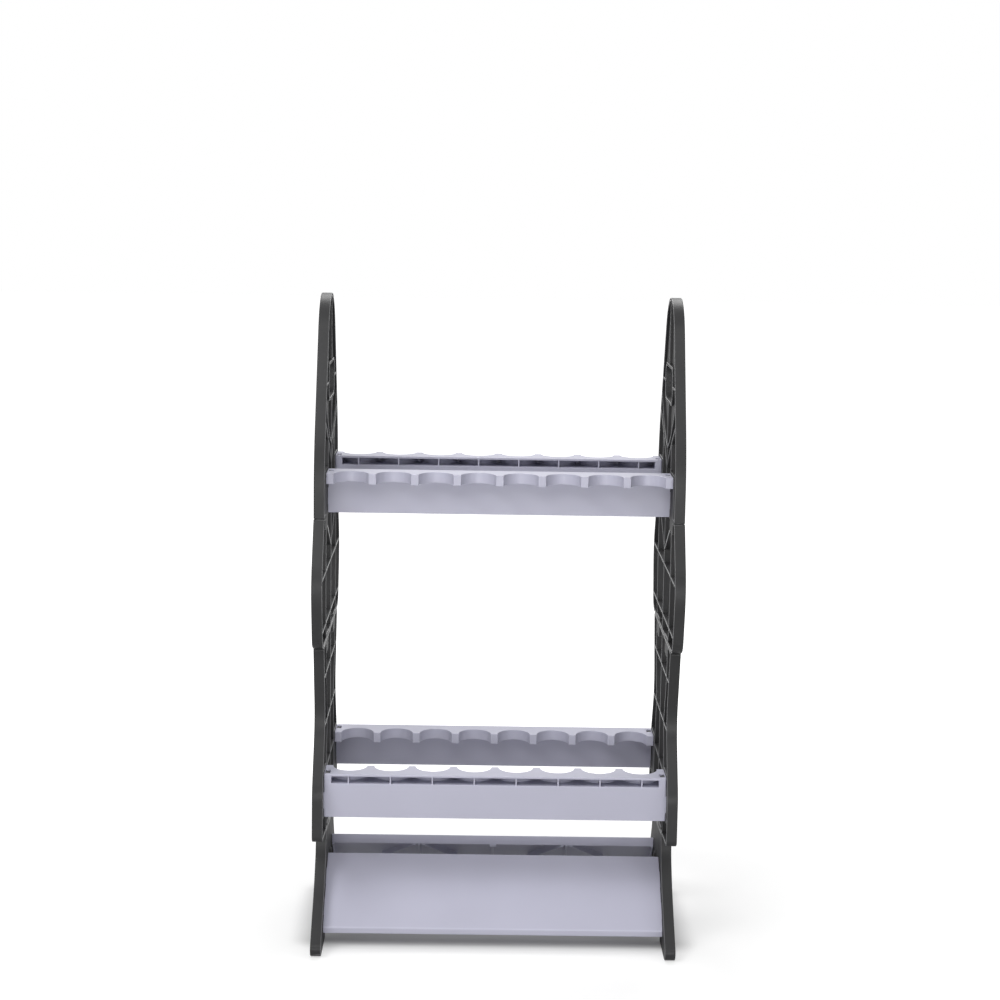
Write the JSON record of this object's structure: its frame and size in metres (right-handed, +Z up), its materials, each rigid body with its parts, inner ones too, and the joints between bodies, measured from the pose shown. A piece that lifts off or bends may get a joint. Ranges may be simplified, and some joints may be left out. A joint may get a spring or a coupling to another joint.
{
  "type": "rod rack",
  "caption": "Free-standing fishing rod rack: notched upper and lower rails and sloping butt plates between two lattice side panels with arched tops.",
  "frame": {"origin": "on the floor under the middle of the rack", "axes": "+Z up, +X along the rails to the right in the picture, -Y the pictured front"},
  "size_m": [0.3912, 0.2878, 0.7016],
  "materials": {
    "black_plastic": "moulded plastic, satin black",
    "grey_plastic": "moulded plastic, satin lavender grey"
  },
  "bodies": {
    "root": {"left_arch": "black_plastic", "right_arch": "black_plastic", "left_middle": "black_plastic", "right_middle": "black_plastic", "left_lower": "black_plastic", "right_lower": "black_plastic", "left_foot": "black_plastic", "right_foot": "black_plastic", "front_upper_rail": "grey_plastic", "rear_upper_rail": "grey_plastic", "front_lower_rail": "grey_plastic", "rear_lower_rail": "grey_plastic", "front_base_plate": "grey_plastic", "rear_base_plate": "grey_plastic"}
  },
  "joints": []
}
